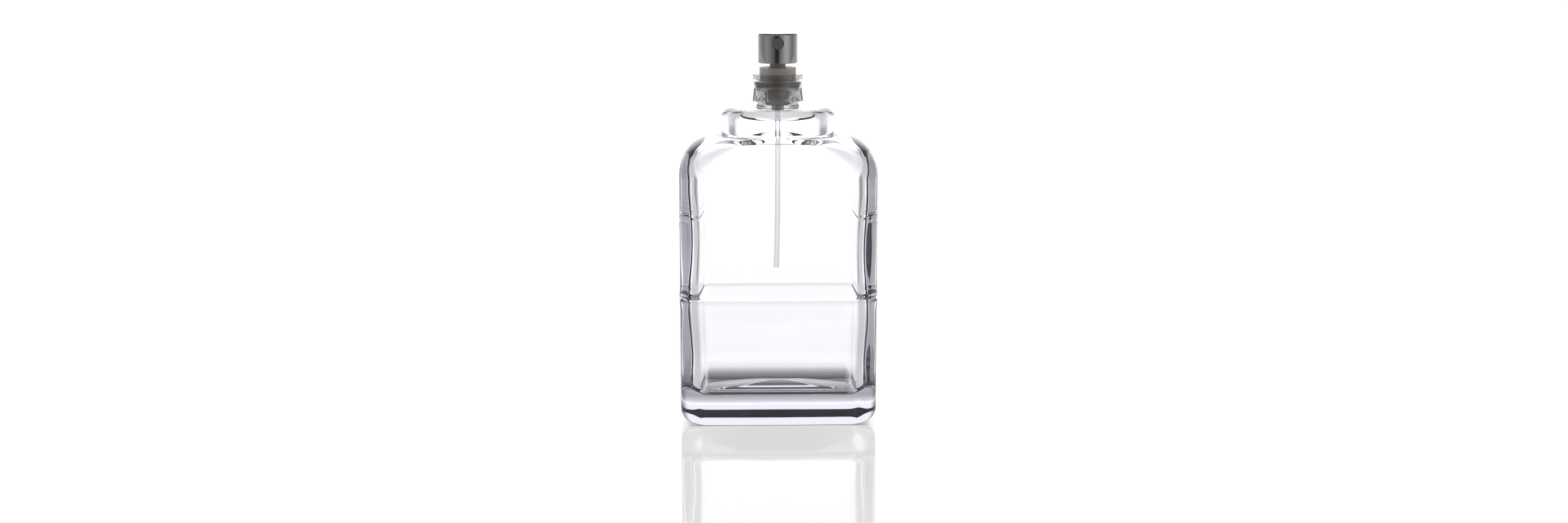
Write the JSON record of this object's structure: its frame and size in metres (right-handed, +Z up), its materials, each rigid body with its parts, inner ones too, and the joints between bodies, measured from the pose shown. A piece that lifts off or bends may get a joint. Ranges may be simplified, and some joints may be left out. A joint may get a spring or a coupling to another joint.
{
  "type": "aftershave bottle",
  "caption": "Thick clear glass aftershave bottle with shallow side grooves, a plinth under the neck, a clear push-fit collar and a bright spray pump",
  "frame": {"origin": "middle of the base, on the surface that the bottle stands on", "axes": "+Z up along the bottle, X across the wide face, the spray nozzle faces -Y"},
  "size_m": [0.0664, 0.038, 0.1279],
  "materials": {
    "clear_glass": "polished, colourless",
    "clear_plastic": "clear, moulded",
    "tube_plastic": "translucent, extruded",
    "natural_plastic": "translucent natural, satin",
    "white_plastic": "moulded, satin",
    "seal_rubber": "matt",
    "spring_steel": "drawn wire",
    "bright_metal": "bright silver, slightly soft reflections",
    "nozzle_plastic": "matt dark grey"
  },
  "bodies": {
    "bottle": {"glass_bottle": "clear_glass", "neck_gasket": "seal_rubber", "pump_housing": "natural_plastic", "dip_tube": "tube_plastic", "inner_gasket": "seal_rubber", "pump_turret": "natural_plastic", "return_spring": "spring_steel", "snap_collar": "clear_plastic"},
    "stem": {"pump_stem": "white_plastic"},
    "piston": {"piston": "white_plastic"},
    "ball": {"inlet_ball": "spring_steel"},
    "actuator": {"actuator_core": "white_plastic", "actuator_shell": "bright_metal", "nozzle_insert": "nozzle_plastic"}
  },
  "joints": [
    {"name": "press", "type": "slide", "parent": "bottle", "child": "stem", "axis": [0, 0, -1], "range_m": [0, 0.004], "stiffness_N_per_m": 1500, "springref_m": -0.004, "deforming": ["return_spring"]},
    {"name": "actuator_spin", "type": "hinge", "parent": "stem", "child": "actuator", "pos_m": [0, 0, 0.123], "axis": [0, 0, 1], "continuous": true},
    {"name": "piston_slip", "type": "slide", "parent": "stem", "child": "piston", "axis": [0, 0, 1], "range_m": [0, 0.0003]},
    {"name": "ball_lift", "type": "slide", "parent": "bottle", "child": "ball", "axis": [0, 0, 1], "range_m": [0, 0.0004]}
  ]
}
